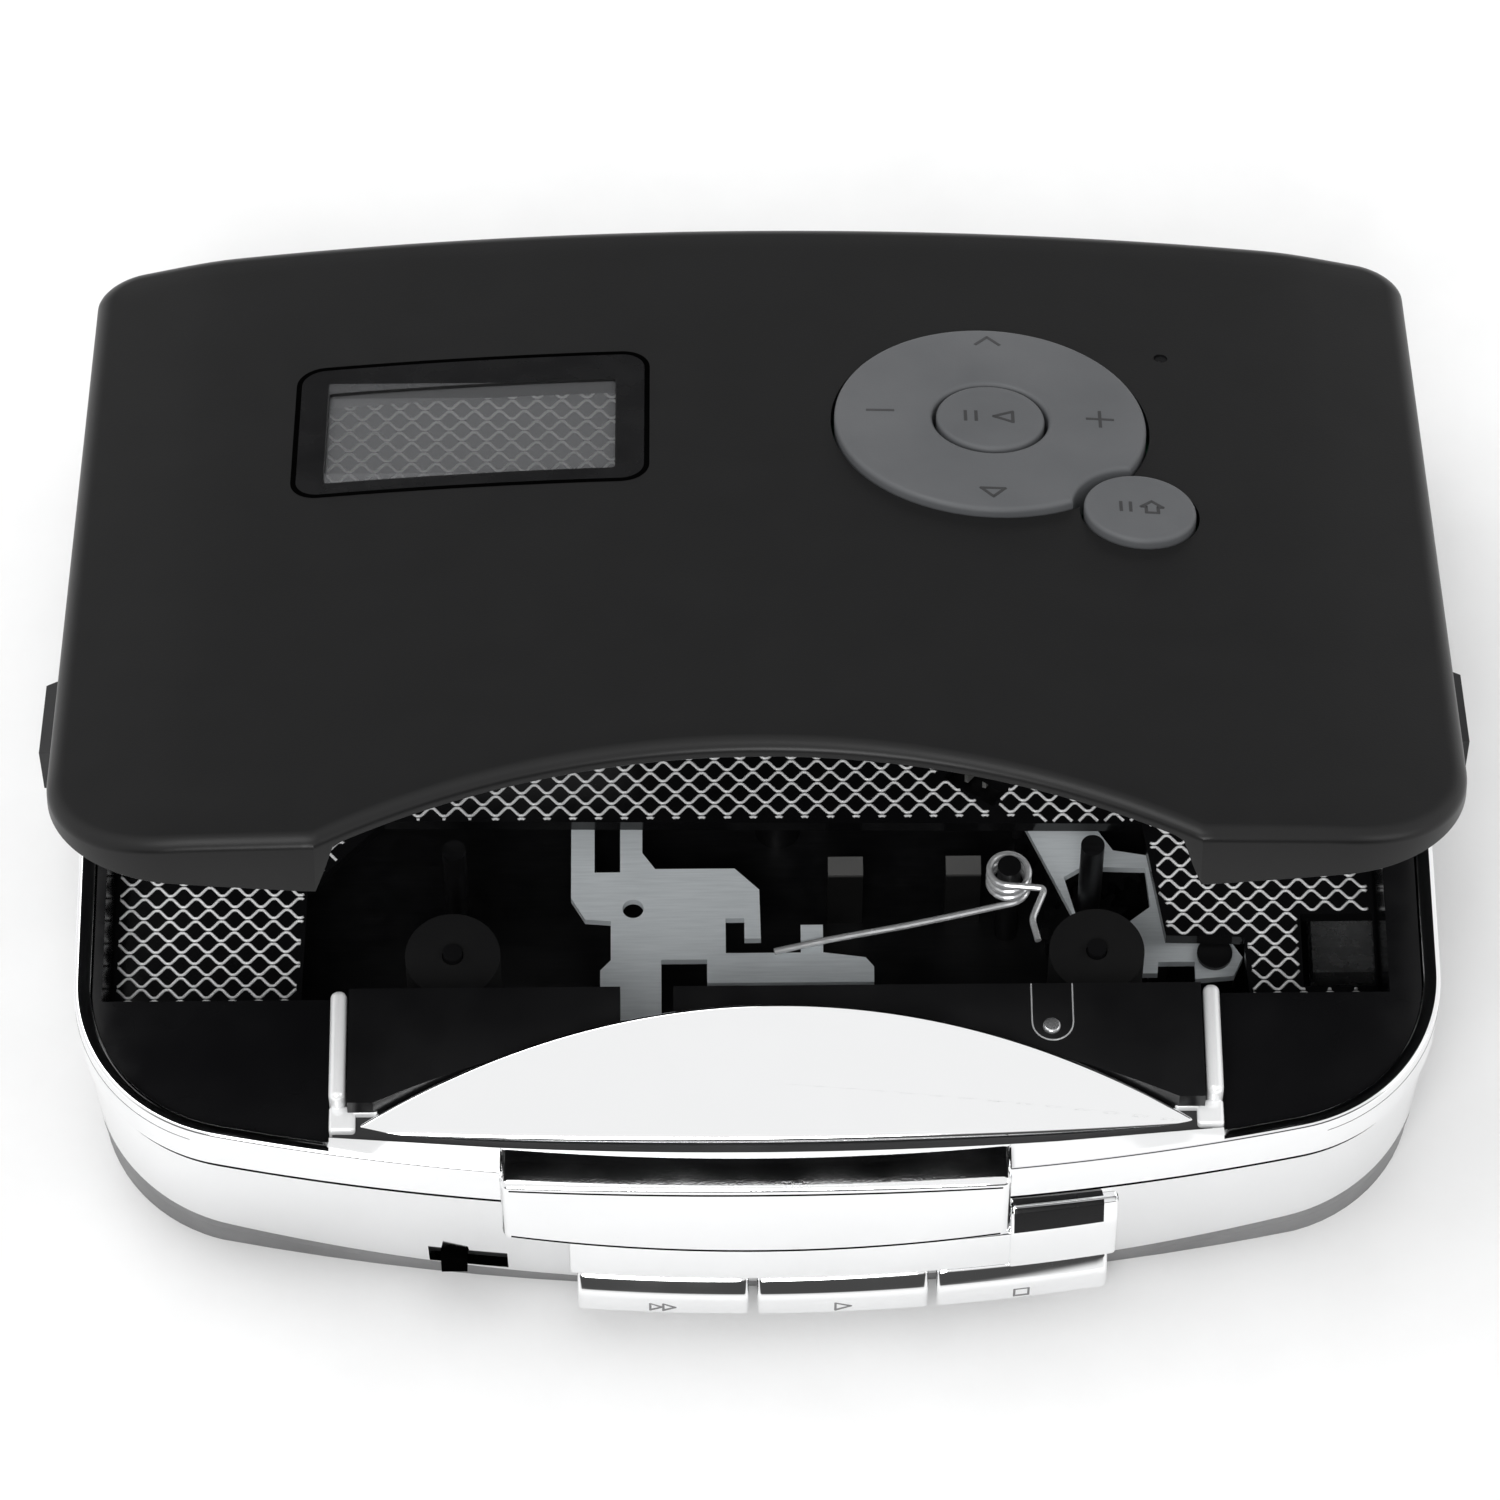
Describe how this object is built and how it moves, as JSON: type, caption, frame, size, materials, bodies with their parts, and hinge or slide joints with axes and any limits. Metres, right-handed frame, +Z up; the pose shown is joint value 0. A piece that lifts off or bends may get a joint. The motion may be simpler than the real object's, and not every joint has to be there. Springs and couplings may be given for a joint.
{
  "type": "cassette player",
  "caption": "Portable cassette player with a hinged lid open over a ridged well, round lid buttons, front keys, and a belt-driven tape deck inside.",
  "frame": {"origin": "centre of the underside, below the middle of the case between its flat sides", "axes": "+X to the right as seen from the keys, +Y to the hinge at the back, +Z up"},
  "size_m": [0.1226, 0.0926, 0.0614],
  "materials": {
    "bottom_shell": "matte",
    "lower_belt": "polished",
    "upper_rim": "polished",
    "dome_frame": "polished",
    "seat_panel": "gloss",
    "front_bar": "satin",
    "key_bezel": "polished",
    "deck": "gloss",
    "floor_sheet": "ridged",
    "side_grips": "matte",
    "chassis": "brushed",
    "motor": "brushed",
    "motor_pulley": "turned",
    "drive_belt": "matte",
    "capstan_bushes": "turned",
    "flywheel_left": "turned",
    "flywheel_right": "turned",
    "capstan_pinion": "matte",
    "idler_gear": "matte",
    "takeup_spindle": "matte",
    "supply_spindle": "matte",
    "slide_plate": "brushed",
    "tape_head": "brushed",
    "pinch_brackets": "matte",
    "pinch_roller_left": "matte",
    "pinch_roller_right": "matte",
    "swing_lever": "brushed",
    "torsion_spring": "brushed",
    "guide_posts": "matte",
    "tape_guides": "matte",
    "main_board": "satin",
    "usb_socket": "brushed",
    "headphone_jack": "matte",
    "power_socket": "brushed",
    "switch_body": "brushed",
    "switch_knob": "matte",
    "wind_key": "polished",
    "play_key": "polished",
    "stop_key": "polished",
    "wind_spring": "brushed",
    "play_spring": "brushed",
    "stop_spring": "brushed",
    "battery_cells": "gloss",
    "battery_contacts": "brushed",
    "battery_spring": "brushed",
    "battery_cover": "matte",
    "case_screws": "brushed",
    "chassis_screws": "brushed",
    "hinge_pins": "brushed",
    "lid_shell": "matte",
    "lid_window": "smoked",
    "lid_liner": "matte",
    "lid_board": "satin",
    "tact_switches": "brushed",
    "lid_screws": "brushed",
    "status_lens": "matte",
    "ring_pad": "matte",
    "middle_button": "matte",
    "small_button": "matte"
  },
  "bodies": {
    "case": {"bottom_shell": "bottom_shell", "lower_belt": "lower_belt", "upper_rim": "upper_rim", "dome_frame": "dome_frame", "seat_panel": "seat_panel", "front_bar": "front_bar", "key_bezel": "key_bezel", "deck": "deck", "floor_sheet": "floor_sheet", "side_grips": "side_grips", "chassis": "chassis", "motor": "motor", "drive_belt": "drive_belt", "capstan_bushes": "capstan_bushes", "torsion_spring": "torsion_spring", "guide_posts": "guide_posts", "tape_guides": "tape_guides", "main_board": "main_board", "usb_socket": "usb_socket", "headphone_jack": "headphone_jack", "power_socket": "power_socket", "switch_body": "switch_body", "wind_spring": "wind_spring", "play_spring": "play_spring", "stop_spring": "stop_spring", "battery_cells": "battery_cells", "battery_contacts": "battery_contacts", "battery_spring": "battery_spring", "case_screws": "case_screws", "chassis_screws": "chassis_screws", "hinge_pins": "hinge_pins"},
    "lid": {"lid_shell": "lid_shell", "lid_window": "lid_window", "lid_liner": "lid_liner", "lid_board": "lid_board", "tact_switches": "tact_switches", "lid_screws": "lid_screws", "status_lens": "status_lens"},
    "ring_pad": {"ring_pad": "ring_pad"},
    "middle_button": {"middle_button": "middle_button"},
    "small_button": {"small_button": "small_button"},
    "wind_key": {"wind_key": "wind_key"},
    "play_key": {"play_key": "play_key"},
    "stop_key": {"stop_key": "stop_key"},
    "head_slide": {"slide_plate": "slide_plate", "tape_head": "tape_head", "pinch_brackets": "pinch_brackets"},
    "pinch_left": {"pinch_roller_left": "pinch_roller_left"},
    "pinch_right": {"pinch_roller_right": "pinch_roller_right"},
    "swing_lever": {"swing_lever": "swing_lever"},
    "flywheel_left": {"flywheel_left": "flywheel_left"},
    "flywheel_right": {"flywheel_right": "flywheel_right", "capstan_pinion": "capstan_pinion"},
    "motor_pulley": {"motor_pulley": "motor_pulley"},
    "idler_gear": {"idler_gear": "idler_gear"},
    "takeup_reel": {"takeup_spindle": "takeup_spindle"},
    "supply_reel": {"supply_spindle": "supply_spindle"},
    "switch_knob": {"switch_knob": "switch_knob"},
    "battery_cover": {"battery_cover": "battery_cover"}
  },
  "joints": [
    {"name": "lid_hinge", "type": "hinge", "parent": "case", "child": "lid", "pos_m": [0, 0.0401, 0.0274], "axis": [-1, 0, 0], "range_deg": [-21.3, 40]},
    {"name": "ring_press", "type": "slide", "parent": "lid", "child": "ring_pad", "axis": [0, -0.3665, -0.9304], "range_m": [0, 0.0005], "stiffness_N_per_m": 2000, "springref_m": -0.0005},
    {"name": "middle_press", "type": "slide", "parent": "lid", "child": "middle_button", "axis": [0, -0.3665, -0.9304], "range_m": [0, 0.0005], "stiffness_N_per_m": 2000, "springref_m": -0.0005},
    {"name": "small_press", "type": "slide", "parent": "lid", "child": "small_button", "axis": [0, -0.3665, -0.9304], "range_m": [0, 0.0005], "stiffness_N_per_m": 2000, "springref_m": -0.0005},
    {"name": "wind_push", "type": "slide", "parent": "case", "child": "wind_key", "axis": [0, 1, 0], "range_m": [0, 0.005], "stiffness_N_per_m": 250, "springref_m": -0.004, "deforming": ["wind_spring"]},
    {"name": "play_push", "type": "slide", "parent": "case", "child": "play_key", "axis": [0, 1, 0], "range_m": [0, 0.005], "stiffness_N_per_m": 250, "springref_m": -0.004, "deforming": ["play_spring"]},
    {"name": "stop_push", "type": "slide", "parent": "case", "child": "stop_key", "axis": [0, 1, 0], "range_m": [0, 0.005], "stiffness_N_per_m": 250, "springref_m": -0.004, "deforming": ["stop_spring"]},
    {"name": "head_travel", "type": "slide", "parent": "case", "child": "head_slide", "axis": [0, 1, 0], "range_m": [0, 0.005]},
    {"name": "pinch_left_spin", "type": "hinge", "parent": "head_slide", "child": "pinch_left", "pos_m": [-0.0255, -0.0244, 0], "axis": [0, 0, 1], "continuous": true},
    {"name": "pinch_right_spin", "type": "hinge", "parent": "head_slide", "child": "pinch_right", "pos_m": [0.0285, -0.0244, 0], "axis": [0, 0, 1], "continuous": true},
    {"name": "lever_swing", "type": "hinge", "parent": "case", "child": "swing_lever", "pos_m": [0.039, -0.02, 0], "axis": [0, 0, 1], "range_deg": [-3, 3], "stiffness_Nm_per_rad": 0.02},
    {"name": "capstan_spin", "type": "hinge", "parent": "case", "child": "flywheel_right", "pos_m": [0.0285, -0.0142, 0], "axis": [0, 0, 1], "continuous": true},
    {"name": "left_capstan_spin", "type": "hinge", "parent": "case", "child": "flywheel_left", "pos_m": [-0.0255, -0.0142, 0], "axis": [0, 0, 1], "continuous": true},
    {"name": "motor_spin", "type": "hinge", "parent": "case", "child": "motor_pulley", "pos_m": [-0.04145, 0.008, 0], "axis": [0, 0, 1], "continuous": true},
    {"name": "idler_spin", "type": "hinge", "parent": "case", "child": "idler_gear", "pos_m": [0.02933, -0.00423, 0], "axis": [0, 0, 1], "continuous": true},
    {"name": "takeup_spin", "type": "hinge", "parent": "case", "child": "takeup_reel", "pos_m": [0.02275, 0.0098, 0], "axis": [0, 0, 1], "continuous": true},
    {"name": "supply_spin", "type": "hinge", "parent": "case", "child": "supply_reel", "pos_m": [-0.01975, 0.0098, 0], "axis": [0, 0, 1], "continuous": true},
    {"name": "power_switch", "type": "slide", "parent": "case", "child": "switch_knob", "axis": [1, 0, 0], "range_m": [0, 0.0032]},
    {"name": "cover_slide", "type": "slide", "parent": "case", "child": "battery_cover", "axis": [0, 1, 0], "range_m": [0, 0.02]}
  ],
  "couplings": [
    {"joint": "head_travel", "follows": "play_push", "ratio": 1},
    {"joint": "left_capstan_spin", "follows": "capstan_spin", "ratio": 1},
    {"joint": "motor_spin", "follows": "capstan_spin", "ratio": 4.16},
    {"joint": "idler_spin", "follows": "capstan_spin", "ratio": -0.53846},
    {"joint": "takeup_spin", "follows": "capstan_spin", "ratio": 0.38889}
  ]
}
